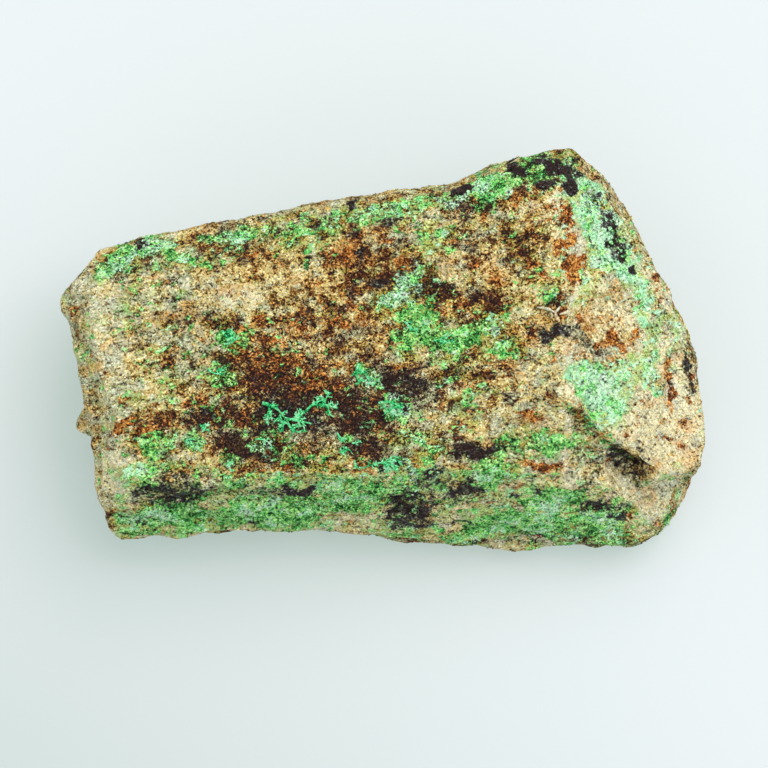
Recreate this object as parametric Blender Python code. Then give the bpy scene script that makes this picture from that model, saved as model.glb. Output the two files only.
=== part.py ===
"""A hand specimen of malachite ore: one broken block of iron-stained rock, lying on its flattest side.

The block is modelled as flat breaks round a point inside it. A ball of rays leaves that point, and each ray
ends on the nearest break. Where the stone is hollow, two or three blocks of breaks share the same core and the
ray ends on the furthest of them, so a re-entrant corner stays sharp. Layered noise then makes the breaks uneven.

The stone lies as it does when seen from above with its long side along X: +Y is its straight back,
-Y its green front slope, +X its broad pale end.
"""

import bmesh
import bpy
import numpy as np

# The finished stone's size, in metres. The tables below are in millimetres, close to this size.
LENGTH = 0.1040
WIDTH = 0.0655
HEIGHT = 0.0425

TRIANGLES = 9400  # in the finished solid
RAYS_ACROSS = 112  # cells along each edge of the cube that the rays pass through
CORE = np.array([12.0, 4.0, 10.0])  # the point inside the stone that every break is seen from
LONGEST_SHARE = 1e-4  # keeps a ray that never meets a break from dividing by nothing

# Each break: x, y, z of a point on it, the compass direction it slopes down to (0 is +X, 90 is +Y), and its
# tilt from level, where 90 is upright and more than 90 is an overhang.
BREAKS_ALL_ROUND = {
    "bed": (0, 0, 0, 0, 180),
    # the broad top
    "top": (0, 5, 42, 215, 1.5),
    "top_left": (-22, 5, 41.6, 183, 9),
    "top_front": (-5, -9, 41.5, 266, 15),
    # the green band along the back
    "back_band": (0, 20.4, 41.9, 106.5, 42),
    "back_band_right": (23, 26.6, 42.3, 98, 42),
    "back_band_left": (-30, 15.6, 40.5, 102, 38),
    "back_left_bevel": (-44.1, 13.5, 38, 142, 46),
    "back_left_wall": (-49.1, 13.5, 24, 145, 87),
    # the narrow left end, with its pale strip
    "left_bevel": (-47.5, 2, 36.5, 188, 55),
    "left_wall": (-51.3, 3, 24, 190, 87),
    "pale_strip": (-42.8, -14, 38.5, 193, 55),
    "left_low_wall": (-51.3, -14.9, 22, 203, 87),
    "front_left_corner": (-41.8, -24.8, 33, 228, 62),
    "front_left_wall": (-45.2, -29.3, 16, 227, 86),
    # the front slope, left of the rim
    "front_left": (-20, -20.3, 38, 271, 66),
    # the broad right end
    "mint_face": (31.3, 20, 42.3, 2, 40),
    "mint_outer": (35.4, 20.5, 38.2, 29, 57),
    "tan_face": (31.8, 5, 42, 12, 33),
    "cream_face": (32, -4, 40.8, 3, 34),
    "right_wall_a": (52.1, -12, 20, 5, 87),
    "right_wall_b": (50.7, 1.3, 20, 11, 86),
    "right_wall_c": (46.0, 12.6, 20, 26, 86),
    "right_wall_d": (39, 23.4, 22, 32, 86),
    "right_wall_e": (34.3, 29.6, 26, 46, 84),
    # the undersides, which the walls turn in to
    "under_left": (-49, 0, 18, 186, 112),
    "under_back_left": (-46, 12, 18, 140, 114),
    "under_back": (0, 25, 20, 98, 108),
    "under_back_right": (30, 30, 16, 85, 114),
    "under_right": (50, 0, 16, 8, 115),
    "under_right_back": (40, 20, 14, 35, 118),
}

# The front right corner: the rim and its hollow, the hollow's floor, and the ledge that stands over both.
FRONT_SLOPE = {
    "front_right": (8, -19, 38.5, 273.5, 62),
    "toe_end": (43, -24.5, 21, 330, 52),
    "toe_end_wall": (49.2, -21, 15, 338, 86),
    "toe_corner": (43.7, -31.1, 12, 302, 84),
}
RIGHT_CORNER = [
    {"rim_slope": (8, -19, 38.8, 291.6, 32.4), **FRONT_SLOPE},
    {
        "hollow_floor": (23.8, -8, 41.6, 272, 31.8),
        "hollow_deep": (29, -12.5, 38.6, 320, 46),
        **FRONT_SLOPE,
    },
    {"ledge_front": (38.1, -14.3, 36.8, 247, 63), "ledge_tip": (49, -19.4, 24, 290, 84)},
]

# The back wall steps out at a shoulder on the right.
BACK = [
    {"back_wall": (-2, 25.5, 26, 98, 87), "back_wall_left": (-28, 20.7, 26, 101.5, 87)},
    {"shoulder_end": (25, 32.5, 30, 98.7, 86), "shoulder_side": (14, 28.4, 30, 114, 86)},
]

# The foot of the front slope is drawn in between a heel on the left and a toe on the right.
FRONT = [
    {"instep_wall": (-15, -29.5, 17, 270, 88), "under_instep": (-15, -29.3, 15, 270, 122)},
    {
        "heel_wall": (-36, -31.0, 15, 270, 87),
        "heel_side": (-28.5, -29.6, 15, 281, 88),
        "under_heel": (-36, -30, 14, 268, 120),
    },
    {
        "toe_side": (-0.5, -29.9, 14, 256, 88),
        "toe_wall": (8, -31.8, 14, 266, 88),
        "toe_wall_right": (28, -33.0, 14, 271, 88),
        "under_toe": (20, -33.2, 9, 272, 114),
    },
]

# Lumps stand out softly and chips are scooped out by the last number, within the radius before it, round the
# point x, y, z.
LUMPS_AND_CHIPS = {
    "left_knob": (-50.5, -12.0, 27, 3.6, 3.4),
    "left_notch": (-50.0, -5.4, 29, 4.2, -1.8),
    "left_corner": (-51.0, 7.0, 31, 4.5, 0.9),
    "heel_knob": (-41.0, -28.5, 20, 6.0, 1.0),
    "left_shelf": (-24.0, 9.5, 41, 5.0, 0.9),
    "left_trough": (-33.0, 2.5, 40, 8.0, -0.9),
    "bark_ridge": (-38.0, -7.2, 40, 6.0, 0.7),
    "dark_pit": (-14.0, -7.5, 42, 6.0, -0.8),
    "middle_swell": (2.0, -3.0, 42, 11.0, 0.6),
    "middle_trough": (0.0, 13.0, 42, 6.0, -0.6),
    "dark_chip": (28.0, 3.0, 42, 3.6, -1.0),
    "rust_notch": (32.0, 13.5, 41, 3.4, -1.0),
    "shell_break": (36.2, 4.5, 38.5, 6.4, -1.7),
    "cave": (40.0, -18.3, 29, 4.5, -1.8),
    "toe_chip": (2.5, -24.5, 27, 4.8, -1.3),
    "hollow_chip": (21.0, -13.0, 38, 5.5, -0.9),
    "heel_chip": (-30.0, -27.5, 24, 5.0, -0.9),
    "back_chip": (-20.0, 22.5, 27, 7.0, -1.5),
    "back_low_chip": (8.0, 26.0, 13, 8.0, -1.7),
    "shoulder_chip": (24.0, 32.0, 22, 6.0, -1.4),
    "left_low_chip": (-49.5, 1.0, 13, 7.5, -1.6),
    "right_chip": (47.5, 6.5, 15, 8.0, -1.8),
    "right_low_chip": (50.5, -12.0, 12, 6.5, -1.4),
    "front_low_chip": (-18.0, -29.0, 10, 7.0, -1.3),
}

# Unevenness of the breaks: wavelength and height in millimetres, and a seed each.
RIDGE_WANDER = [(19.0, 0.8, 11), (7.5, 0.45, 12)]
SWELL = [(24.0, 0.7, 21)]
SCALLOPS = [(13.0, 1.0, 22), (6.5, 0.55, 23), (3.4, 0.3, 24)]  # hollow flakes with sharp edges between them
WALL_ROUGHER = 0.5  # how much more uneven the upright breaks are than the level ones
MOST_RISE = 0.7  # the tallest that any of these stands out, which bumps near slowly
# Low steps where the rock's layers break: the way across the layers, their thickness and height, a seed each.
LEDGES = [((0.25, 0.90, 0.36), 6.5, 0.55, 31), ((0.10, -0.05, 1.0), 9.5, 0.9, 35)]
BED_CALM = 2.5  # millimetres above the bed over which the upward unevenness fades out
UNDERSIDE_STRAY = (2.6, 16.0)  # how much more the breaks wander at the bed, and the height at which that ends

# The bed touches what it lies on over its middle, and shallow chips lift the rest a little.
BED_MIDDLE = (0.0, -2.0, 14.0)  # x, y and radius of the part kept flat
BED_CHIPS = (13.0, 5.0, 41)  # wavelength, depth and a seed


def corner_gradients(cell, seed):
    """One random direction for each corner of the noise's grid, as a function of its whole-number place."""
    cell = cell.astype(np.int64)
    mixed = cell[..., 0] * 73856093 ^ cell[..., 1] * 19349663 ^ cell[..., 2] * 83492791 ^ seed * 2654435761
    parts = []
    for shift in (0, 1, 2):
        value = (mixed + shift * 97531) & 0xFFFFFFFF
        for multiplier in (0x45D9F3B, 0x45D9F3B):
            value = ((value >> 16) ^ value) * multiplier & 0xFFFFFFFF
        parts.append(((value >> 8) & 0xFFFF) / 32767.5 - 1.0)
    return np.stack(parts, axis=-1)


def noise(points, wavelength, seed):
    """Smooth noise from about -1 to 1: each grid corner holds a slope, and the slopes are blended."""
    place = points / wavelength
    cell = np.floor(place)
    inside = place - cell
    ease = inside**3 * (inside * (inside * 6 - 15) + 10)
    total = np.zeros(len(points))
    for corner in np.ndindex(2, 2, 2):
        corner = np.array(corner)
        slope = corner_gradients(cell + corner, seed)
        weight = np.prod(np.where(corner == 1, ease, 1 - ease), axis=1)
        total += weight * np.sum(slope * (inside - corner), axis=1)
    return 1.4 * total


def break_plane(spec):
    """The outward normal of a break, and its distance from the core."""
    x, y, z, compass, tilt = spec
    compass, tilt = np.radians(compass), np.radians(tilt)
    normal = np.array(
        [np.sin(tilt) * np.cos(compass), np.sin(tilt) * np.sin(compass), np.cos(tilt)]
    )
    return normal, normal @ (np.array([x, y, z]) - CORE)


def share_of(rays, breaks):
    """How far along a block each ray's end is: 1 on its surface, more outside it."""
    shares = []
    for spec in breaks.values():
        normal, distance = break_plane(spec)
        shares.append(np.maximum(rays @ normal / distance, LONGEST_SHARE))
    return np.max(shares, axis=0)


def stone_share(rays):
    """The whole stone's share: the breaks all round it, and for each stepped corner the furthest block."""
    share = share_of(rays, BREAKS_ALL_ROUND)
    for blocks in (RIGHT_CORNER, BACK, FRONT):
        share = np.maximum(share, np.min([share_of(rays, block) for block in blocks], axis=0))
    return share


def ledge_height(points, direction, spacing, height, seed):
    """Low steps in patches: a saw-tooth across the layers, which waver with noise."""
    across = points @ (np.array(direction) / np.linalg.norm(direction))
    place = (across + 5.0 * noise(points, 26.0, seed)) / spacing % 1.0
    step = place - np.clip((place - 0.85) / 0.15, 0, 1)
    patchy = np.clip(0.5 + 1.2 * noise(points, 17.0, seed + 1), 0, 1)
    return height * (step - 0.35) * patchy


def bed_lift(points):
    """How far the chips in the bed reach up: none in its middle."""
    x, y, radius = BED_MIDDLE
    wavelength, depth, seed = BED_CHIPS
    outside = np.clip((np.hypot(points[:, 0] - x, points[:, 1] - y) - radius) / 8.0, 0, 1)
    return depth * np.clip(noise(points, wavelength, seed) - 0.1, 0, 1) * outside


def surface_normals(points, corners):
    """Vertex normals, from the four corners of each quad."""
    a, b, c, d = (points[corners[:, k]] for k in range(4))
    facing = np.cross(c - a, d - b)
    normals = np.zeros_like(points)
    for k in range(4):
        np.add.at(normals, corners[:, k], facing)
    return normals / np.linalg.norm(normals, axis=1, keepdims=True)


def stone_points(rays, corners):
    """Where the rays end, in millimetres: on the wandering breaks, then moved in or out by the unevenness."""
    ends = rays / stone_share(rays)[:, None]
    wander = np.zeros_like(ends)
    for wavelength, height, seed in RIDGE_WANDER:
        for axis in range(3):
            wander[:, axis] += height * noise(ends + CORE, wavelength, seed * 10 + axis)
    above_bed = ends[:, 2:] + CORE[2]
    wander[:, 2:] *= np.clip(above_bed / BED_CALM, 0, 1)
    wander[:, :2] *= 1 + UNDERSIDE_STRAY[0] * np.clip(1 - above_bed / UNDERSIDE_STRAY[1], 0, 1)
    ends = ends / stone_share(ends + wander)[:, None]

    points = ends + CORE
    normals = surface_normals(points, corners)
    rise = sum(ledge_height(points, *ledges) for ledges in LEDGES)
    for wavelength, height, seed in SWELL:
        rise += height * noise(points, wavelength, seed)
    for wavelength, height, seed in SCALLOPS:
        rise += height * (0.45 - 1.6 * np.abs(noise(points, wavelength, seed)))
    rise *= 1 + WALL_ROUGHER * (1 - normals[:, 2] ** 2)
    rise = np.where(rise > 0, MOST_RISE * np.tanh(rise / MOST_RISE), rise)
    for x, y, z, radius, height in LUMPS_AND_CHIPS.values():
        away = np.linalg.norm(points - np.array([x, y, z]), axis=1) / radius
        rise += height * np.clip(1 - away**2, 0, 1) ** (2 if height > 0 else 1)
    moved = normals * rise[:, None]
    moved[:, 2] *= np.clip(points[:, 2] / BED_CALM, 0, 1)
    points = points + moved
    points[:, 2] = np.maximum(points[:, 2], bed_lift(points))
    return points


def stood_on_its_bed(points):
    """The points in metres, brought to the stated size, centred on the origin and standing on Z = 0."""
    low, high = points.min(axis=0), points.max(axis=0)
    scaled = (points - low) / (high - low) * np.array([LENGTH, WIDTH, HEIGHT])
    return scaled - np.array([LENGTH / 2, WIDTH / 2, 0])


def vertex_array(mesh):
    """All vertex places of a mesh as rows of x, y, z."""
    flat = np.empty(len(mesh.vertices) * 3, np.float32)
    mesh.vertices.foreach_get("co", flat)
    return flat.reshape(-1, 3).astype(float)


def cube_of_rays():
    """A cube round the core with a grid on each side, roughly in the stone's proportions."""
    mesh = bpy.data.meshes.new("cube_of_rays")
    grid = bmesh.new()
    bmesh.ops.create_cube(grid, size=2.0)
    bmesh.ops.subdivide_edges(grid, edges=grid.edges[:], cuts=RAYS_ACROSS - 1, use_grid_fill=True)
    bmesh.ops.scale(grid, vec=(51.5, 32.2, 21.2), verts=grid.verts)
    bmesh.ops.translate(grid, vec=(0, 0, 21.2), verts=grid.verts)
    bmesh.ops.recalc_face_normals(grid, faces=grid.faces)
    grid.to_mesh(mesh)
    grid.free()
    return mesh


def stone_material():
    """Iron-brown rock with a green cast, dull and rough all over."""
    material = bpy.data.materials.new("malachite_ore")
    material.use_nodes = True
    shader = material.node_tree.nodes["Principled BSDF"]
    shader.inputs["Base Color"].default_value = (0.26, 0.24, 0.11, 1)
    shader.inputs["Roughness"].default_value = 0.85
    shader.inputs["Metallic"].default_value = 0.0
    return material


def thinned(mesh):
    """The same shape with fewer triangles: large where the stone is flat, small along its edges."""
    rough = bpy.data.objects.new("rough_stone", mesh)
    bpy.context.scene.collection.objects.link(rough)
    decimate = rough.modifiers.new("fewer_triangles", "DECIMATE")
    decimate.ratio = TRIANGLES / (2 * len(mesh.polygons))
    decimate.use_collapse_triangulate = True
    bpy.context.view_layer.update()
    graph = bpy.context.evaluated_depsgraph_get()
    fewer = bpy.data.meshes.new_from_object(rough.evaluated_get(graph))
    bpy.data.objects.remove(rough)
    return fewer


def malachite_specimen():
    """The stone as one object."""
    mesh = cube_of_rays()
    corners = np.empty(len(mesh.polygons) * 4, np.int32)
    mesh.polygons.foreach_get("vertices", corners)
    points = stone_points(vertex_array(mesh) - CORE, corners.reshape(-1, 4))
    mesh.vertices.foreach_set("co", points.astype(np.float32).ravel())
    mesh.update()

    mesh = thinned(mesh)
    points = stood_on_its_bed(vertex_array(mesh))
    mesh.vertices.foreach_set("co", points.astype(np.float32).ravel())
    mesh.update()
    mesh.materials.clear()
    mesh.materials.append(stone_material())
    stone = bpy.data.objects.new("malachite_specimen", mesh)
    bpy.context.scene.collection.objects.link(stone)
    return stone


for leftover in list(bpy.data.objects):
    bpy.data.objects.remove(leftover)
malachite_specimen()
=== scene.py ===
import bpy
import numpy as np
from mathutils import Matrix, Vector


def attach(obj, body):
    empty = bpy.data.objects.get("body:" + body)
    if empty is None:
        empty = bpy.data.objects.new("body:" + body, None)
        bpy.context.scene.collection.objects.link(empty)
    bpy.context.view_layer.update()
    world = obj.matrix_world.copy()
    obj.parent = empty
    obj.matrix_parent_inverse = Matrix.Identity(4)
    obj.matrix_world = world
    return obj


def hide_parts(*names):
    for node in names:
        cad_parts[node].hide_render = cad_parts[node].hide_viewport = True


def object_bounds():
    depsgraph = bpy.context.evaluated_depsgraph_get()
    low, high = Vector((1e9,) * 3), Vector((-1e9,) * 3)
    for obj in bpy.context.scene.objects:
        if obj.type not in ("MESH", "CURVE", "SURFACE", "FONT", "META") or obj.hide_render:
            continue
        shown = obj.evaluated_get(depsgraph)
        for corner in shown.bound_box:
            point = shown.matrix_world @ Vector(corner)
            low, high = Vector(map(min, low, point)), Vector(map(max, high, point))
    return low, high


# Malachite specimen: fine surface, crusts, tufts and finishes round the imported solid.
# Lengths in the dictionaries are millimetres. Compass: 0 is +X, 90 is +Y.

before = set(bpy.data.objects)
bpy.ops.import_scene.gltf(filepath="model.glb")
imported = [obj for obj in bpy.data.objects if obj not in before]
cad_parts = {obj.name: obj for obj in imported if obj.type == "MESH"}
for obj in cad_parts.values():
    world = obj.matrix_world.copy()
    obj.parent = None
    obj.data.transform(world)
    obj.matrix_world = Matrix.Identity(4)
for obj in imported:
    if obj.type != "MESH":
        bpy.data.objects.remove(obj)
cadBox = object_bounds()
scene = bpy.context.scene
scene.view_settings.view_transform = "Standard"
rng = np.random.default_rng(11)


# noise
hashing = {
    "axes": (73856093, 19349663, 83492791),
    "seed": 2654435761,
    "part": 97531,
    "mixer": 0x45D9F3B,
    "gain": 1.4,
}


def cornerSlopes(cell, seed):
    # one random direction for each whole-number place, from an integer hash
    cell = cell.astype(np.int64)
    x, y, z = (cell[..., axis] * prime for axis, prime in enumerate(hashing["axes"]))
    mixed = x ^ y ^ z ^ seed * hashing["seed"]
    parts = []
    for axis in range(3):
        value = (mixed + axis * hashing["part"]) & 0xFFFFFFFF
        for turn in range(2):
            value = ((value >> 16) ^ value) * hashing["mixer"] & 0xFFFFFFFF
        parts.append(((value >> 8) & 0xFFFF) / 32767.5 - 1.0)
    return np.stack(parts, axis=-1)


def softNoise(points, wavelength, seed):
    # sum over the eight corners of (corner slope . offset) x ease weight, about -1 to 1
    place = points / wavelength
    cell = np.floor(place)
    inside = place - cell
    ease = inside**3 * (inside * (inside * 6 - 15) + 10)
    total = np.zeros(len(points))
    for corner in np.ndindex(2, 2, 2):
        corner = np.array(corner)
        slope = cornerSlopes(cell + corner, seed)
        weight = np.prod(np.where(corner == 1, ease, 1 - ease), axis=1)
        total += weight * np.sum(slope * (inside - corner), axis=1)
    return hashing["gain"] * total


def uneven(points, layers):
    # sum of height x noise, over layers of wavelength, height and seed
    return sum(height * softNoise(points, wavelength, seed) for wavelength, height, seed in layers)


def strayOf(points, layers, axes):
    # an uneven length for each axis, each axis with its own seed
    return np.stack([
        uneven(points, [(wavelength, length, seed + axis) for wavelength, length, seed in layers])
        for axis in range(axes)
    ], axis=1)


def smooth(value, low, high):
    # 0 below low, 1 above high, 3t^2 - 2t^3 between them
    t = np.clip((value - low) / (high - low), 0, 1)
    return t * t * (3 - 2 * t)


# the block: flat breaks round a core, as in the solid
block = {
    "core": (12.0, 4.0, 10.0),
    "boxLow": (-51.5, -32.2, 0.0),  # rays from the core run through a grid on this box
    "boxSize": (103.0, 64.4, 42.4),
    "cells": (206, 129, 62),  # along X, Y and Z
    "rowsToTop": 1.25,  # above 1, the rows are closer near the top
    "wander": [(19.0, 0.8, 110), (7.5, 0.45, 120)],  # wavelength, length, seed: how the ridges stray
    "undersideStray": (2.6, 16.0),  # how much more they stray at the bed, and the height where that ends
    "swell": [(24.0, 0.7, 21)],
    "scallops": [(13.0, 1.0, 22), (6.5, 0.55, 23), (3.4, 0.3, 24)],  # hollow flakes with sharp edges between
    "scallopShape": (0.45, 1.6),  # level of the sharp edges, depth of the hollows
    "ledges": [((0.25, 0.90, 0.36), 6.5, 0.55, 31), ((0.10, -0.05, 1.0), 9.5, 0.9, 35)],
    "ledgeBends": (26.0, 5.0),  # wavelength and height
    "ledgeStep": (0.85, 0.15),  # the share of a layer that slopes, and the share that its step takes
    "ledgeMiddle": 0.35,
    "ledgePatches": (17.0, 0.5, 1.2),  # wavelength, usual share, how much it varies
    "wallRougher": 0.5,
    "mostRise": 0.7,
    "grit": [(2.3, 0.24, 61), (1.25, 0.18, 62)],  # the finer unevenness that only the scene has
    "roundedCrust": (1.9, 0.25, 63),  # the same, where malachite grows
    "ironPits": (2.6, 0.45, 64),  # and where the iron is darkest
    "bedCalm": 2.5,  # the unevenness fades below this height
    "bedMiddle": (0.0, -2.0, 14.0),  # x, y and radius of what stays quite flat
    "bedEdge": 8.0,  # the chips round it deepen over this width
    "bedChips": (13.0, 5.0, 41),
    "bedChipsFrom": 0.1,  # the level of noise that makes a chip
}

# each break: x, y, z of a point on it, the compass it slopes down to, its tilt from level
breaksAllRound = [
    (0, 0, 0, 0, 180),  # bed
    (0, 5, 42, 215, 1.5),  # top
    (-22, 5, 41.6, 183, 9),
    (-5, -9, 41.5, 266, 15),
    (0, 20.4, 41.9, 106.5, 42),  # green band along the back
    (23, 26.6, 42.3, 98, 42),
    (-30, 15.6, 40.5, 102, 38),
    (-44.1, 13.5, 38, 142, 46),
    (-49.1, 13.5, 24, 145, 87),
    (-47.5, 2, 36.5, 188, 55),  # left end
    (-51.3, 3, 24, 190, 87),
    (-42.8, -14, 38.5, 193, 55),
    (-51.3, -14.9, 22, 203, 87),
    (-41.8, -24.8, 33, 228, 62),
    (-45.2, -29.3, 16, 227, 86),
    (-20, -20.3, 38, 271, 66),  # front slope, left of the rim
    (31.3, 20, 42.3, 2, 40),  # right end: mint, tan and cream faces
    (35.4, 20.5, 38.2, 29, 57),
    (31.8, 5, 42, 12, 33),
    (32, -4, 40.8, 3, 34),
    (52.1, -12, 20, 5, 87),
    (50.7, 1.3, 20, 11, 86),
    (46.0, 12.6, 20, 26, 86),
    (39, 23.4, 22, 32, 86),
    (34.3, 29.6, 26, 46, 84),
    (-49, 0, 18, 186, 112),  # undersides
    (-46, 12, 18, 140, 114),
    (0, 25, 20, 98, 108),
    (30, 30, 16, 85, 114),
    (50, 0, 16, 8, 115),
    (40, 20, 14, 35, 118),
]
frontSlope = [
    (8, -19, 38.5, 273.5, 62),
    (43, -24.5, 21, 330, 52),
    (49.2, -21, 15, 338, 86),
    (43.7, -31.1, 12, 302, 84),
]
steppedCorners = [
    [  # front right: rim and hollow, hollow floor, ledge over both
        [(8, -19, 38.8, 291.6, 32.4), *frontSlope],
        [(23.8, -8, 41.6, 272, 31.8), (29, -12.5, 38.6, 320, 46), *frontSlope],
        [(38.1, -14.3, 36.8, 247, 63), (49, -19.4, 24, 290, 84)],
    ],
    [  # back wall and its shoulder
        [(-2, 25.5, 26, 98, 87), (-28, 20.7, 26, 101.5, 87)],
        [(25, 32.5, 30, 98.7, 86), (14, 28.4, 30, 114, 86)],
    ],
    [  # front foot: instep, heel, toe
        [(-15, -29.5, 17, 270, 88), (-15, -29.3, 15, 270, 122)],
        [(-36, -31.0, 15, 270, 87), (-28.5, -29.6, 15, 281, 88), (-36, -30, 14, 268, 120)],
        [(-0.5, -29.9, 14, 256, 88), (8, -31.8, 14, 266, 88), (28, -33, 14, 271, 88),
         (20, -33.2, 9, 272, 114)],
    ],
]
# x, y, z, radius, height: lumps stand out softly, chips (below nought) are scooped out
lumpsAndChips = [
    (-50.5, -12.0, 27, 3.6, 3.4),
    (-50.0, -5.4, 29, 4.2, -1.8),
    (-51.0, 7.0, 31, 4.5, 0.9),
    (-41.0, -28.5, 20, 6.0, 1.0),
    (-24.0, 9.5, 41, 5.0, 0.9),
    (-33.0, 2.5, 40, 8.0, -0.9),
    (-38.0, -7.2, 40, 6.0, 0.7),
    (-14.0, -7.5, 42, 6.0, -0.8),
    (2.0, -3.0, 42, 11.0, 0.6),
    (0.0, 13.0, 42, 6.0, -0.6),
    (28.0, 3.0, 42, 3.6, -1.0),
    (32.0, 13.5, 41, 3.4, -1.0),
    (36.2, 4.5, 38.5, 6.4, -1.7),
    (40.0, -18.3, 29, 4.5, -1.8),
    (2.5, -24.5, 27, 4.8, -1.3),
    (21.0, -13.0, 38, 5.5, -0.9),
    (-30.0, -27.5, 24, 5.0, -0.9),
    (-20.0, 22.5, 27, 7.0, -1.5),
    (8.0, 26.0, 13, 8.0, -1.7),
    (24.0, 32.0, 22, 6.0, -1.4),
    (-49.5, 1.0, 13, 7.5, -1.6),
    (47.5, 6.5, 15, 8.0, -1.8),
    (50.5, -12.0, 12, 6.5, -1.4),
    (-18.0, -29.0, 10, 7.0, -1.3),
]

core = np.array(block["core"])


def wayOf(compass, tilt):
    # the way a face looks that slopes down to the compass, tilted from level, in degrees
    compass, tilt = np.radians(compass), np.radians(tilt)
    return np.array([np.sin(tilt) * np.cos(compass), np.sin(tilt) * np.sin(compass), np.cos(tilt)])


def shareOf(rays, breaks):
    # a ray's share of a block = the greatest of (ray . break normal) / break distance; 1 on the surface
    shares = []
    for x, y, z, compass, tilt in breaks:
        normal = wayOf(compass, tilt)
        shares.append(np.maximum(rays @ normal / (normal @ (np.array([x, y, z]) - core)), 1e-4))
    return np.max(shares, axis=0)


def stoneShare(rays):
    # the breaks all round, then at each stepped corner the block that reaches furthest
    share = shareOf(rays, breaksAllRound)
    for blocks in steppedCorners:
        share = np.maximum(share, np.min([shareOf(rays, one) for one in blocks], axis=0))
    return share


def boxGrid(cells):
    # whole-number places on the six sides of a box of cells, and the quads that join them, facing out
    sides = []
    for axis in range(3):
        u, v = (axis + 1) % 3, (axis + 2) % 3
        a, b = np.meshgrid(np.arange(cells[u] + 1), np.arange(cells[v] + 1), indexing="ij")
        for end in (0, cells[axis]):
            place = np.zeros(a.shape + (3,), np.int64)
            place[..., u], place[..., v], place[..., axis] = a, b, end
            quads = np.stack([place[:-1, :-1], place[1:, :-1], place[1:, 1:], place[:-1, 1:]], axis=2)
            sides.append((quads[:, :, ::-1] if end == 0 else quads).reshape(-1, 4, 3))
    places, index = np.unique(np.concatenate(sides).reshape(-1, 3), axis=0, return_inverse=True)
    return places, index.reshape(-1, 4)


def normalsOf(points, quads):
    # vertex normal = sum of the crossed diagonals of its quads
    a, b, c, d = (points[quads[:, k]] for k in range(4))
    facing = np.cross(c - a, d - b)
    normals = np.zeros_like(points)
    for k in range(4):
        np.add.at(normals, quads[:, k], facing)
    return normals / np.linalg.norm(normals, axis=1, keepdims=True)


def ridgeOf(points, normals, quads, reaches=(4, 24), cut=1.5):
    # how far a point stands above the mean of its surroundings, at two reaches: -1 in a hollow, 1 on a ridge
    one, other = np.concatenate([quads[:, [k, (k + 1) % 4]] for k in range(4)]).T
    count = np.bincount(one, minlength=len(points))[:, None]
    mean, ridge = points, 0
    for turn in range(1, max(reaches) + 1):
        mean = np.stack([np.bincount(one, mean[other, k], len(points)) for k in range(3)], axis=1) / count
        if turn in reaches:
            above = np.sum((points - mean) * normals, axis=1)
            ridge = ridge + np.clip(above / (cut * above.std()), -1, 1) / len(reaches)
    return ridge


def ledgeHeight(points, direction, spacing, height, seed):
    # saw-tooth of the distance across the layers, in patches
    across = points @ (np.array(direction) / np.linalg.norm(direction))
    wavelength, bend = block["ledgeBends"]
    slope, width = block["ledgeStep"]
    place = (across + bend * softNoise(points, wavelength, seed)) / spacing % 1.0
    step = place - np.clip((place - slope) / width, 0, 1)
    patch, usual, more = block["ledgePatches"]
    patches = np.clip(usual + more * softNoise(points, patch, seed + 1), 0, 1)
    return height * (step - block["ledgeMiddle"]) * patches


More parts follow.
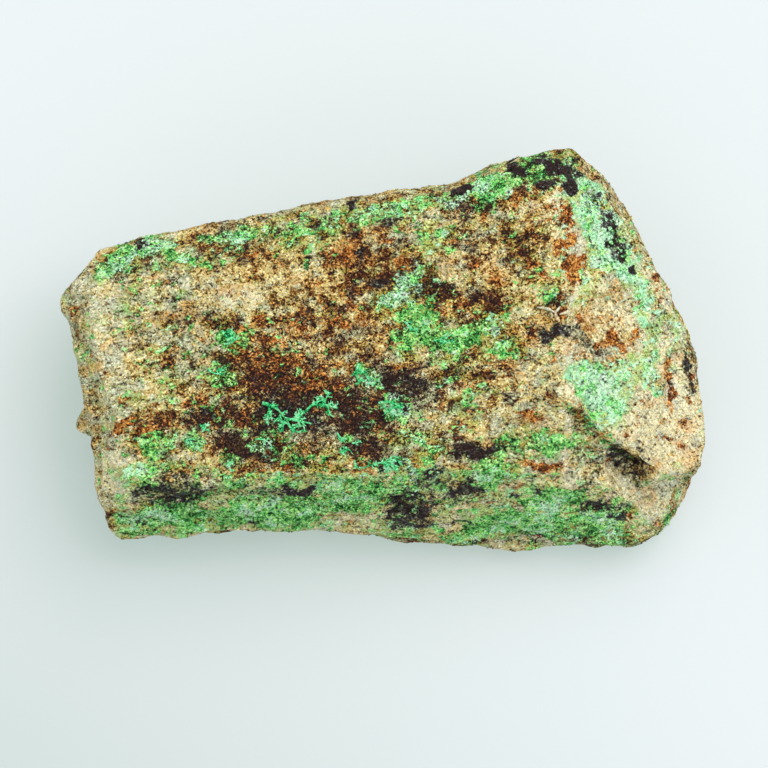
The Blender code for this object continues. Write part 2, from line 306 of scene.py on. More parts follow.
# where each mineral grows
# spots: x, y, half length, half width, compass of the length if it isn't along X, how much more grows there
minerals = {
    "iron": {  # stain of the bare rock: 0 cream, 0.5 ochre, 1 umber
        "top": 0.42, "side": 0.46, "topSwing": 0.20, "sideSwing": 0.42, "patch": 8.0, "seed": 75,
        "least": -0.5,  # paler than cream
        "spots": [
            (40, -5, 10, 16, -0.1), (-40, 3, 9, 9, -0.08), (-14, 2, 15, 7, 0.1),
            (-29, 12, 9, 3.6, 8, 0.12), (-14, -7, 16, 4, -4, 0.2), (-12, -14, 20, 4.5, 0.2),
            (20, 17, 12, 8, 0.06), (14, -14, 14, 5, -0.12), (-14, 14, 12, 4.6, 5, 0.02),
            (-39, 4, 11, 8, -0.06), (-42, 9.5, 6, 1.8, 8, -0.12), (-25, 9, 4.2, 1.6, 10, -0.75),
            (-38, 9.2, 7, 1, 14, -0.3), (-38, -7, 9, 1.8, 2, -0.18), (-46, 2, 3.5, 5, -0.1),
            (-43.5, -17, 8, 2.4, 100, -0.36), (-40, -12, 5, 1.6, 0.16), (-35, -17, 6, 2.6, -0.08),
            (-4, 16, 8, 5, 5, 0.06), (-28, 18.3, 5, 1.6, 10, 0.2), (-9, 3, 8, 5.5, 0.08),
            (-20, -1.5, 6, 2.6, 0.18), (-17, -4.8, 8.5, 2.2, -8, 0.3), (-11, -7.2, 4.5, 2.2, 0.22),
            (-4, -10, 4, 3, 0.24), (-24, -16, 4, 2.2, 0.22), (-4, -15.5, 4, 1.6, 0.22),
            (-29.5, -10.5, 5, 2.2, 0.32), (-20, -15, 7, 2.6, 0.2), (-4.5, 16, 1.4, 4.2, 0.32),
            (0.5, 12, 2.6, 1.2, 0.3), (5, 14.6, 1.6, 1.1, 0.35), (12, 22, 2.4, 2.6, 0.12),
            (22.5, 18, 3.2, 3.4, 0.24), (19.5, 24.3, 5, 1.3, 10, 0.3), (17, 8.3, 3.8, 1.7, 0.44),
            (8, 9.2, 2.8, 1.7, 0.44), (4, -5, 6, 3.2, 0.3), (15, -2.6, 5, 1.5, 0.28),
            (24.5, -7, 3, 0.9, 0.3), (29.2, 8.2, 1, 1.2, 0.4), (25, -2, 5.5, 2.6, -0.14),
            (24, -11, 6, 2.4, 8, -0.24), (21, -9, 8, 0.8, 38, -0.25), (15, -16, 6, 1.2, 5, 0.2),
            (30, -16.5, 5, 2.2, -0.06), (36.4, 5, 4.8, 3.2, -55, 0.26), (33.6, 1.6, 3.4, 1.3, -45, 0.6),
            (31.4, 7.2, 2.6, 0.6, -80, -0.3), (44, -12, 8, 6.5, -60, -0.56), (33, -6, 5, 3.6, -80, -0.24),
            (44, 2, 6, 3, -80, -0.12), (45.5, -25, 6, 3.6, 70, -0.42), (49.2, -2, 5.5, 0.9, 95, 0.42),
            (40, -17, 3.8, 1.3, -18, 0.45), (34, 21.5, 6.5, 2.4, -58, -0.26), (41, 11, 6, 2.4, -55, -0.16),
            (38, 11, 0.9, 3.6, 35, 0.3), (-34, -25.5, 8, 2.6, 0.2), (5, -25, 5, 2.6, 0.26),
            (-45, -21, 2, 4, -0.4), (-45, -26.5, 1.5, 1.1, 0.4), (28, 14, 3, 5, -0.08),
            (42, -15.5, 4, 1, -20, 0.12), (40, -11.3, 2.6, 0.9, -35, 0.22), (47, -9, 2.5, 0.6, 80, 0.2),
        ],
    },
    "warm": {  # bare rock: 0 grey olive, 1 warm ochre
        "top": 0.62, "side": 0.50, "topSwing": 0.22, "sideSwing": 0.40, "patch": 11.0, "seed": 77,
        "spots": [
            (-38, 3, 12, 8, -0.1), (-30, 1, 3.6, 5, -0.15), (4, -6, 7, 4.6, -0.45),
            (-5, -12.5, 8, 4.6, -0.45), (-18, -14, 6, 2.8, -0.3), (15, -16, 7, 1.8, 5, -0.45),
            (-14, 13, 13, 5, 0.36), (22, 14, 10, 9, 0.3), (44, -11, 8, 7, -60, 0.34),
            (36.4, 5.5, 5, 4, -55, 0.55), (33.6, 1.6, 3.4, 1.6, -45, -0.4), (0, -25, 46, 4.4, -0.1),
            (10, 17, 6, 3.6, -0.25), (30, -15, 7, 3, -0.2), (-38, 12.5, 5, 1.5, -0.3),
        ],
    },
    "rust": {
        "top": 0.16, "side": 0.24, "topSwing": 0.12, "sideSwing": 0.34, "patch": 8.0, "seed": 74,
        "spots": [
            (-14, 1, 14, 7, 0.06), (-14, -3, 8, 3, 0.2), (20, 16, 11, 8, 0.04), (-40, -12, 4.6, 1.5, 0.5),
            (2.5, 14.4, 1.5, 1.1, 0.7), (31.3, 13, 1.4, 3, 0.75), (-10.6, -4.6, 1.6, 1.7, 0.55),
            (37, 1.6, 2.4, 1, 0.38), (46.4, -4, 4, 0.9, 95, 0.5), (-20, 2, 6, 3.6, 0.22),
            (-8, 6, 6, 3.6, 0.22), (27, 18, 4, 5, 0.26), (29.4, 17, 0.9, 8, 0.22), (20, 11, 7, 4, 0.14),
            (-4, 14, 6, 4, 0.14), (22, 24, 6, 1.6, 0.25), (-30, -9, 5, 1.8, 0.25),
            (26.5, -18, 3.6, 0.9, 0.45), (-14, -10, 6, 1.4, 0.25), (12, -6, 4, 1.8, 0.2),
            (49.5, -10, 5, 0.8, 85, 0.35), (-24, 17, 6, 1.6, 8, 0.2), (24, -10.5, 2, 1.4, 0.35),
        ],
    },
    "green": {
        "top": 0.17, "side": 0.36, "topSwing": 0.16, "sideSwing": 0.44, "patch": 9.0, "seed": 71,
        "spots": [
            (-44, 14.8, 3.2, 1.4, 45, 0.65), (-38, 17.2, 1.8, 0.9, 12, 0.8),
            (-35, 15.6, 4.5, 0.9, -16, 0.45), (-24, 19.3, 6, 1, 9, 0.45), (0, 23, 13, 1.7, 13, 0.34),
            (22, 28.8, 8.5, 2.1, 17, 0.45), (7, 18.6, 5, 2.8, 0.22), (1, 9.5, 3.4, 1.1, 52, 0.5),
            (4.8, 12.3, 2.6, 1, 40, 0.45), (4.5, 5, 3.4, 2.4, -35, 0.36), (9, 4, 12, 5, 0.12),
            (9, 2, 4, 2.2, -8, 0.34), (7, 6.6, 1.4, 1, 60, 0.4), (13.5, 3, 3.2, 2.2, 25, 0.28),
            (17.5, 5, 2.6, 1.6, 40, 0.26), (1.5, 2, 2, 1.8, 0.3), (20, 0.5, 3, 1.2, 0.25),
            (-24.5, 2.4, 2.3, 1.8, 0.5), (-26.5, -3.4, 3, 1.6, 0.24), (-19, 0.5, 3, 1.4, 0.14),
            (-3.6, -3.6, 1.2, 1.9, 0.6), (-2, -4.6, 0.8, 0.8, 0.5), (1.6, -8.8, 2.6, 1.4, 0.44),
            (-6.7, -13.6, 1.1, 1, 0.45), (0.8, -18, 2.3, 0.8, 0.55), (-19, -14.4, 4, 2.2, 0.22),
            (6, -15, 5, 2.6, 0.3), (-12, -17, 6, 1.8, 0.22), (-31, -14.5, 1.4, 1, 0.55),
            (-25, -17.6, 2.2, 1.1, 0.45), (-37, -15, 3, 1.8, 0.36), (-36, -18.8, 5, 1.2, 0.3),
            (14.5, -7.5, 3.2, 1.4, 25, 0.38), (11, -3.4, 3, 1, 0.2), (22, -15.5, 5, 1.6, 0.2),
            (28.5, -14, 4, 1.8, 0.3), (34, 21, 7, 2.6, -58, 0.62), (37.8, 17, 3, 1.2, -60, 0.42),
            (38.6, 13.4, 3.4, 1.4, -50, 0.52), (42.4, 10.4, 4, 1.2, -52, 0.42), (42, 6, 3, 1.2, -70, 0.4),
            (43, -3.6, 4, 1, -85, 0.34), (33.5, -6, 5, 3, -75, 0.4), (37, -7, 6, 4, -50, 0.26),
            (32.2, 12.7, 0.6, 0.6, 0.7), (27.8, 9.2, 0.9, 1.2, 0.45), (36, 4.5, 4.6, 4, -50, -0.3),
            (-36, -27, 6, 1.6, 0.36), (-20, -26.4, 7, 2.2, 0.52), (-7, -24.4, 6, 1.6, 0.36),
            (-24, -20.4, 7, 0.9, 0.34), (-8, -27.6, 6, 1.4, -0.12), (-27, -23, 3, 2.4, -0.12),
            (6, -25.5, 6, 2.8, -0.04), (17.5, -19.6, 4.4, 2.2, 0.46), (27.5, -23.2, 5, 1.5, 0.5),
            (22, -28.4, 7, 2.2, -3, 0.54), (21.5, -22.6, 2.8, 1.8, -0.14), (33, -21.4, 5, 2, -0.14),
            (12, -28, 3, 1.6, -0.12), (35, -28, 4.6, 2, 0.4), (-40.5, -20.4, 4, 1.3, 0.3),
            (47, -20, 2, 1, 0.25), (45, -12, 6, 6, -0.34), (-15, 12, 9, 4, 5, -0.12),
        ],
    },
    "tone": {  # malachite: 0 deep green, 1 pale mint
        "top": 0.45, "side": 0.42, "topSwing": 0.40, "sideSwing": 0.34, "patch": 5.0, "seed": 72,
        "spots": [
            (33, 20.8, 6.5, 3, -55, 0.6), (39.5, 11.5, 10, 4, -60, 0.45), (34, -6, 6, 5, -60, 0.5),
            (1, 23, 13, 2, 13, 0.2), (42, -2, 8, 9, 0.4), (2, 10.5, 4.4, 2.4, 50, 0.32),
            (-33, -22.6, 7, 2.2, -0.34), (-40, -21, 3, 3, 0.3), (1.6, -8.8, 3, 2, 0.38),
            (0.8, -18, 3, 1.4, 0.42), (37, -7, 6, 4, -50, 0.2), (28, -28, 8, 2.6, 0.16),
            (-3.4, -3.8, 2, 2.4, 0.2), (-38, 17, 3, 1.6, 0.25), (6, -15, 5, 2.6, 0.25),
        ],
    },
    "black": {
        "top": 0.11, "side": 0.14, "topSwing": 0.16, "sideSwing": 0.30, "patch": 6.0, "seed": 76,
        "spots": [
            (-40, 17.5, 1.2, 0.8, 0.6), (12.3, 26.3, 1.5, 1.1, 1), (21.6, 29.6, 1.7, 1.3, 1),
            (28.4, 29.9, 3.6, 1.6, -10, 1), (26.4, 26.6, 1.3, 1, 1), (30.4, 26.8, 1.2, 1.1, 1),
            (1, 21.4, 2.4, 0.6, 10, 0.6), (-4.5, 24, 1, 0.6, 0.6), (-3.6, 17, 1.2, 1.6, 0.4),
            (-1.4, 11, 2.2, 0.9, 0.5), (27.8, 3.2, 2.8, 0.8, 12, 0.6), (37, 20, 5.5, 1.1, -60, 0.5),
            (40.5, 13.2, 0.7, 0.7, 0.9), (49.4, -3, 4.5, 0.7, 95, 0.6), (38, -17.2, 3.4, 1.4, -25, 0.36),
            (4.5, -25, 4.4, 3.2, 0.38), (7, -20.4, 2.4, 1.2, 10, 0.42), (12.5, -22.5, 2.8, 1.6, 0.42),
            (14.5, -15.6, 3.6, 1.5, 0.38), (24, -31, 6, 0.9, 0.5), (-35, -23, 6, 2.4, 0.37),
            (-19.5, -22, 2.8, 1.1, 0.26), (-14.2, -22.6, 2.2, 1.3, 0.7), (-22, -27.6, 1.4, 0.9, 0.7),
            (-30.4, -10, 3, 1.4, 0.45), (-5.5, -8, 3, 1.6, 0.3), (4.4, -5.4, 4, 2.4, 0.42),
            (-3.5, -12, 3, 2, 0.16), (-15, -10, 5.5, 2.4, -12, 0.62), (16, -16.2, 5, 1, 5, 0.4),
            (0, -17.4, 4, 1, 0.3), (3, -8.9, 0.6, 0.6, 0.8), (33.8, 18, 1.2, 0.4, -60, 0.7),
            (33.2, -25.2, 2.4, 1.1, 0.3), (38, -25.6, 2, 1.2, 0.45), (25, -22, 0.9, 0.7, 0.5),
            (40, -11.5, 2.4, 1.2, 0.25), (43, -16, 2.4, 1.2, 0.25),
        ],
    },
}

# compass and tilt of the way a break faces, degrees that still count, least and greatest x, what changes
facings = [
    (8, 36, 20, 20, 60,
     {"iron": -0.54, "green": 0.08, "tone": 0.5, "rust": 0.06, "black": 0.05, "warm": -0.08}),
    (30, 57, 14, 20, 60,
     {"iron": -0.3, "green": 0.2, "tone": 0.48, "black": 0.14, "rust": 0.12, "warm": -0.1}),
    # front slope: more malachite, and painted paler (less iron, paler tone) as painted light for the lamp
    # that barely reaches it
    (272, 62, 18, -60, 60, {"green": 0.23, "tone": 0.1, "iron": -0.46, "black": 0.12, "warm": 0.3}),
    (247, 63, 12, 28, 60, {"iron": 0.42, "black": 0.06, "green": 0.04, "tone": -0.3}),
    (330, 52, 18, 28, 60, {"iron": -0.50, "green": -0.20, "warm": 0.1, "black": 0.05}),
    (102, 42, 16, -60, 60, {"green": 0.07, "tone": 0.10, "warm": -0.1}),
    # left end: a little paler, painted light on the side turned from the lamp
    (190, 62, 30, -60, -38, {"iron": -0.08, "warm": -0.02}),
]

# lines along edges of the top: places joined in turn, half width, what changes on them
seams = [
    ([(30.2, 27), (30.3, 20), (30.2, 12), (28.8, 6)], 1.1, {"iron": 0.42, "rust": 0.12, "green": -0.15}),
    # a pale line on the ridge itself: a painted highlight along the edge
    ([(31.1, 27), (31.4, 20), (31.4, 12), (30.2, 6)], 0.6,
     {"iron": -0.60, "rust": -0.4, "green": -0.2, "black": -0.4}),
    ([(30.5, 3.6), (33.2, 1.6), (36.4, -0.6)], 1.2, {"iron": 0.22, "warm": -0.4, "green": -0.3}),
    ([(34.0, -12.6), (38.0, -14.6), (43.4, -18.8), (48.6, -20.0)], 0.5, {"iron": -0.35, "black": -0.3}),
]

growing = {
    "seen": (8, 20),  # spots, facings and seams come in between these heights, as they belong to the top
    "patches": [(1.0, 1.1, 0), (0.4, 0.8, 20)],  # share of the patch size, height, added to the seed
    "stray": [(5.0, 1.5, 81), (2.1, 1.0, 83)],  # wavelength, length, seed: how the edges of spots wander
    "seamStray": 0.35,
    "facingEdge": (1.15, 0.9),  # where a change begins and is full, in shares of the degrees that count
    "seamEdge": (-1.3, -0.5),  # in half widths, counted inwards
    "spotEdge": (-1.7, -0.4),
    "wear": {"iron": -0.08, "black": -0.10, "green": -0.04},  # on a ridge; the other way in a hollow
}


def besideSeam(points, line):
    # least distance to the pieces of a line, seen from above
    away = np.full(len(points), np.inf)
    for start, end in zip(np.array(line[:-1], float), np.array(line[1:], float)):
        along = np.clip((points - start) @ (end - start) / ((end - start) @ (end - start)), 0, 1)
        away = np.minimum(away, np.linalg.norm(points - start - along[:, None] * (end - start), axis=1))
    return away


def coverOf(points, normals, name, growth):
    # a mineral's cover = its usual share + patchy noise + its facings + its seams + its spots, which are
    # ellipses with strayed edges; two facings and one seam are painted light
    seen = smooth(points[:, 2], *growing["seen"])
    cover = growth["side"] + (growth["top"] - growth["side"]) * seen
    swing = growth["sideSwing"] + (growth["topSwing"] - growth["sideSwing"]) * seen
    cover = cover + swing * uneven(points, [
        (growth["patch"] * share, height, growth["seed"] + seed) for share, height, seed in growing["patches"]
    ])
    for compass, tilt, reach, least, greatest, changes in facings:
        begins, isFull = (np.cos(np.radians(reach * edge)) for edge in growing["facingEdge"])
        there = smooth(normals @ wayOf(compass, tilt), begins, isFull)
        there = there * (points[:, 0] > least) * (points[:, 0] < greatest)
        cover = cover + changes.get(name, 0) * seen * there
    stray = strayOf(points, growing["stray"], 2)
    for line, halfWidth, changes in seams:
        if name in changes:
            away = besideSeam(points[:, :2] + growing["seamStray"] * stray, line)
            begins, isFull = (halfWidth * edge for edge in growing["seamEdge"])
            cover = cover + changes[name] * seen * smooth(-away, begins, isFull)
    strayX, strayY = (points[:, :2] + stray).T
    for x, y, halfLength, halfWidth, *compass, amount in growth["spots"]:
        turn = np.radians(sum(compass))
        c, s = np.cos(turn), np.sin(turn)
        dx, dy = strayX - x, strayY - y
        away = np.hypot((dx * c + dy * s) / halfLength, (dy * c - dx * s) / halfWidth)
        cover = cover + amount * seen * smooth(-away, *growing["spotEdge"])
    return cover


def limited(covers):
    # covers run from 0, or the mineral's own least, to 1
    return {name: np.clip(cover, minerals[name].get("least", 0), 1) for name, cover in covers.items()}


def coversOf(points, normals, ridge):
    # every mineral's cover, with worn ridges paler and hollows darker
    covers = {name: coverOf(points, normals, name, growth) for name, growth in minerals.items()}
    for name, wear in growing["wear"].items():
        covers[name] = covers[name] + wear * ridge
    return limited(covers)


def evenCovers(count, **given):
    # the same cover everywhere: half-tinted bare rock, but for the values given
    usual = {"iron": 0.5, "warm": 0.5, "rust": 0.0, "green": 0.0, "tone": 0.5, "black": 0.0, "shade": 1.0}
    return {name: np.full(count, value) for name, value in {**usual, **given}.items()}


# mesh helper
def newPiece(name, points, faces, covers, material, smoothFaces=True):
    # one object from whole arrays; faces all have the same number of corners
    mesh = bpy.data.meshes.new(name)
    sides = faces.shape[1]
    mesh.vertices.add(len(points))
    mesh.vertices.foreach_set("co", (points / 1000).astype(np.float32).ravel())
    mesh.loops.add(faces.size)
    mesh.loops.foreach_set("vertex_index", faces.astype(np.int32).ravel())
    mesh.polygons.add(len(faces))
    mesh.polygons.foreach_set("loop_start", np.arange(0, faces.size, sides, dtype=np.int32))
    mesh.polygons.foreach_set("use_smooth", np.full(len(faces), smoothFaces))
    mesh.update(calc_edges=True)
    for key, values in covers.items():
        layer = mesh.attributes.new(key, "FLOAT", "POINT")
        layer.data.foreach_set("value", values.astype(np.float32))
    mesh.materials.append(material)
    piece = bpy.data.objects.new(name, mesh)
    scene.collection.objects.link(piece)
    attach(piece, "root")
    return piece


# shader node helpers
def addNode(tree, kind, inputs=None, **settings):
    # a socket given for an input is linked to it, anything else is its own value
    made = tree.nodes.new("ShaderNode" + kind)
    for name, value in settings.items():
        setattr(made, name, value)
    for name, value in (inputs or {}).items():
        if isinstance(value, bpy.types.NodeSocket):
            tree.links.new(value, made.inputs[name])
        else:
            made.inputs[name].default_value = value
    return made


def useGroup(tree, group, inputs):
    # what the group gives, with its inputs filled in the same way
    return addNode(tree, "Group", inputs, node_tree=group).outputs


def calc(tree, operation, a, b=0.0, c=0.0):
    # one sum of a, b and c, such as a x b + c for MULTIPLY_ADD
    return addNode(tree, "Math", {0: a, 1: b, 2: c}, operation=operation).outputs[0]


def blend(tree, factor, a, b, how="MIX"):
    # a x (1 - factor) + b x factor, or b laid over a by another rule
    return addNode(tree, "Mix", {0: factor, 6: a, 7: b}, data_type="RGBA", blend_type=how).outputs[2]


def fade(tree, value, low, high, toLow=0.0, toHigh=1.0):
    # toLow below low, toHigh above high, a smooth step between them
    inputs = {"Value": value, "From Min": low, "From Max": high, "To Min": toLow, "To Max": toHigh}
    return addNode(tree, "MapRange", inputs, interpolation_type="SMOOTHSTEP").outputs[0]


def noise(tree, vector, scale, detail, roughness):
    # cloudy noise through space: its value, then its colour
    inputs = {"Vector": vector, "Scale": scale, "Detail": detail, "Roughness": roughness}
    return addNode(tree, "TexNoise", inputs).outputs


def paint(red, green, blue):
    # display colour 0-255 to the linear colour a shader takes
    s = np.array([red, green, blue]) / 255
    linear = np.where(s <= 0.04045, s / 12.92, ((s + 0.055) / 1.055) ** 2.4)
    return (*[float(v) for v in linear], 1.0)


def paints(names, *colours):
    # each name with its colour
    return {name: paint(*colour) for name, colour in zip(names, colours)}


def newGroup(name, inputs, outputs):
    # the new group's tree, the values that it takes, and the sockets for what it gives
    tree = bpy.data.node_groups.new(name, "ShaderNodeTree")
    for label, kind, value in inputs:
        socket = tree.interface.new_socket(name=label, in_out="INPUT", socket_type="NodeSocket" + kind)
        if value is not None:
            socket.default_value = value
    for label, kind in outputs:
        tree.interface.new_socket(name=label, in_out="OUTPUT", socket_type="NodeSocket" + kind)
    return tree, tree.nodes.new("NodeGroupInput").outputs, tree.nodes.new("NodeGroupOutput").inputs


# effects that several finishes share
grainShape = {
    "stray": (0.6, 0.6, 0.6),  # how far the cells stray, mm
    "strayNoise": (2.2, 3.0, 0.5),  # scale per mm, detail, roughness
    "gap": (0.42, 0.78),  # away from a cell's middle, in sizes
    "dome": (0.75, 0.0),
}
speckleShape = {
    "noise": (5.0, 0.66),  # detail, roughness
    "spread": (4.8, -1.9),  # noise x the first + the second
    "threshold": (-1.5, 1.25),  # cover x the first + the second
}


def makeSandGrains():
    # two sizes of cells, each cell one grain: random values, painted shade in the gap round the larger and a
    # rounded height
    tree, takes, gives = newGroup(
        "sandGrains",
        [("Vector", "Vector", None), ("Grain Size", "Float", 0.4), ("Fine Size", "Float", 0.2)],
        [(name, "Float") for name in ("Shade", "Kind", "Fine Shade", "Fine Kind", "Painted Gap Shade", "Height")],
    )
    stray = noise(tree, takes["Vector"], *grainShape["strayNoise"])["Color"]
    moved = {0: stray, 1: grainShape["stray"], 2: takes["Vector"]}
    moved = addNode(tree, "VectorMath", moved, operation="MULTIPLY_ADD").outputs[0]
    away, parts = [], []
    for size in ("Grain Size", "Fine Size"):
        cells = {"Vector": moved, "Scale": calc(tree, "DIVIDE", 1.0, takes[size])}
        cells = addNode(tree, "TexVoronoi", cells).outputs
        away.append(cells["Distance"])
        parts.append(addNode(tree, "SeparateColor", {"Color": cells["Color"]}).outputs)
    made = {
        "Shade": parts[0][0],
        "Kind": parts[0][1],
        "Fine Shade": parts[1][0],
        "Fine Kind": parts[1][1],
        "Painted Gap Shade": calc(tree, "MULTIPLY", fade(tree, away[0], *grainShape["gap"]), parts[0][2]),
        "Height": fade(tree, away[0], *grainShape["dome"]),
    }
    for name, value in made.items():
        tree.links.new(value, gives[name])
    return tree


def makeSpeckle():
    # mask = fine noise and the grain's own chance, against a threshold that falls as the cover rises
    floats = {"Cover": 0.5, "Chance": 0.5, "Size": 1.2, "Chance Weight": 0.3, "Softness": 0.03}
    tree, takes, gives = newGroup(
        "speckle",
        [("Vector", "Vector", None), ("Shift", "Vector", (0, 0, 0))]
        + [(name, "Float", value) for name, value in floats.items()],
        [("Mask", "Float")],
    )
    moved = addNode(tree, "VectorMath", {0: takes["Vector"], 1: takes["Shift"]}, operation="ADD").outputs[0]
    fine = noise(tree, moved, calc(tree, "DIVIDE", 1.0, takes["Size"]), *speckleShape["noise"])[0]
    spread = calc(tree, "MULTIPLY_ADD", fine, *speckleShape["spread"])
    mixed = {0: takes["Chance Weight"], 2: spread, 3: takes["Chance"]}
    mixed = addNode(tree, "Mix", mixed, data_type="FLOAT").outputs[0]
    threshold = calc(tree, "MULTIPLY_ADD", takes["Cover"], *speckleShape["threshold"])
    low, high = (calc(tree, side, threshold, takes["Softness"]) for side in ("SUBTRACT", "ADD"))
    tree.links.new(fade(tree, mixed, low, high), gives["Mask"])
    return tree


def makeColourSteps(name, along, colours, spans):
    # colour = each colour in turn, faded in over its span of a 0-1 value
    grey = (0.5, 0.5, 0.5, 1)
    inputs = [(colour, "Color", grey) for colour in colours] + [(along, "Float", 0.5)]
    tree, takes, gives = newGroup(name, inputs, [("Color", "Color")])
    mixed = takes[colours[0]]
    for colour, (low, high) in zip(colours[1:], spans):
        mixed = blend(tree, fade(tree, takes[along], low, high), mixed, takes[colour])
    tree.links.new(mixed, gives["Color"])
    return tree


rockSteps = ("Cream", "Tan", "Ochre", "Brown", "Umber")
tintSteps = ("Dark", "Mid", "Light")
sandGrains = makeSandGrains()
speckle = makeSpeckle()
mineralTint = makeColourSteps("mineralTint", "Shade", tintSteps, [(0.0, 0.5), (0.5, 1.0)])
ironStain = makeColourSteps(
    "ironStain", "Stain", rockSteps, [(0.02, 0.28), (0.26, 0.52), (0.52, 0.76), (0.78, 1.0)]
)


# finishes
oreFinish = {
    "coolRock": paints(
        rockSteps, (228, 226, 198), (200, 200, 160), (162, 152, 112), (100, 78, 58), (46, 28, 32)
    ),
    "warmRock": paints(
        rockSteps, (248, 236, 192), (230, 206, 132), (200, 154, 74), (138, 76, 32), (66, 26, 18)
    ),
    "rust": paints(tintSteps, (100, 46, 12), (184, 106, 38), (236, 174, 92)),
    "deepGreen": paints(tintSteps, (12, 60, 28), (56, 150, 66), (132, 220, 108)),
    "springGreen": paints(tintSteps, (66, 182, 80), (136, 240, 116), (214, 255, 160)),
    "paleMint": paints(tintSteps, (156, 230, 172), (200, 252, 204), (234, 255, 230)),
    "black": paints(tintSteps, (17, 13, 17), (48, 42, 44), (100, 102, 96)),
    # dark brown of the pits, also the painted shade in the gaps between grains
    "pitAndGapShade": paint(46, 26, 22),
    "blush": paint(252, 228, 208),  # a pinkish wash over the rock
    "dust": paint(194, 242, 162),  # malachite dust round the green
    "grainSize": 0.40,
    "fineSize": 0.21,
    "grainHeight": 1.7,  # grains are this many times as tall as wide
    "gapPaintedShade": 0.38,
    "drawnOut": (1.15, 0.92, 2.3),  # length of the mottling along, across and up
    "drawnAlong": 12,  # degrees to X
    "brushed": (3.2, 0.34, 1.2),
    # brushed streaks at the left end and the right: degrees to X, x where they begin and are full, how much
    "streaks": [(14, -24.0, -33.0, 0.5), (-57, 27.0, 35.0, 0.9)],
    "noises": {  # scale per mm, detail, roughness
        "specks": (1.7, 3.0, 0.62),
        "drift": (0.42, 5.0, 0.68),
        "cloud": (0.6, 5.0, 0.8),
        "wash": (0.2, 4.0, 0.6),
        "streaks": (1.0, 3.0, 0.6),
        "pits": (2.5, 3.0, 0.75),
        "fine": (2.2, 4.0, 0.75),
    },
    "masks": {  # size of the blots, weight of a grain's own chance, softness, shift, which chance
        "iron": (1.9, 0.10, 0.5, (13, 5, 3), "Shade"),
        "rust": (2.4, 0.20, 0.16, (0, 0, 0), "Fine Kind"),
        "green": (1.6, 0.16, None, (31, 2, 17), "Kind"),
        "black": (1.2, 0.30, 0.24, (7, 44, 9), "Fine Kind"),
    },
    "edges": {  # the values between which something fades in
        "specks": (0.575, 0.615),
        "blots": (0.40, 0.50),
        "hearts": (0.90, 0.95),
        "pits": (0.645, 0.67),
        "softGreen": (0.7, 1.2),
        "warmRock": (0.1, 0.9),
        "blush": (0.54, 0.64),
        "dust": (0.15, 0.55),
        "springGreen": (0.0, 0.5),
        "paleMint": (0.55, 1.05),
        "pale": (0.10, 0.60),
    },
    "greenSoftness": (0.05, 0.22),  # deep green has crisp edges, pale malachite fades into the rock
    # how much each of these adds to a grain's shade, warmth, tone and stain, and to the pits
    "shade": {"cloud": 5.0, "grain": 0.4, "fine": 0.5, "loose": 0.4, "specks": -0.5},
    "warm": {"drift": 5.0, "fine": 0.5},
    "tone": {"drift": 3.4, "fine": 0.35},
    "stain": {
        "usual": 0.145, "iron": 0.34, "grain": -0.2, "loose": -0.2, "blots": 0.22, "hearts": 0.3,
        "drift": 0.8, "fine": 0.08, "fineOnIron": 0.42, "specks": 0.36, "streaks": -0.9,
    },
    "pits": {"stain": 0.14, "black": 0.17, "green": 0.025},
    "dustDrift": 1.5,
    "dustMost": 0.8,
    "evenShade": (0.7, 0.2),  # pale malachite is smoother than the rock
    "crispGreen": 0.3,
    "calm": (1.5, 0.5),  # how lively the grains are where the stone is dark, and pale
    "grainLightnessAndGlints": (0.22, 0.92),  # how much the finest grains differ in lightness, most grains and the odd ones; the brightest odd grains are painted glints
    "streakLight": 1.1,
    "pitCover": 0.88,
    "relief": {"fine": 2.2, "grain": 0.35, "streaks": 0.8, "green": 0.3, "pits": -0.3, "black": -0.3},
    "roughness": {"usual": 0.9, "green": -0.16, "grain": -0.12},
    "specular": 0.2,
    "bumpHeight": 0.0003,  # metres
}


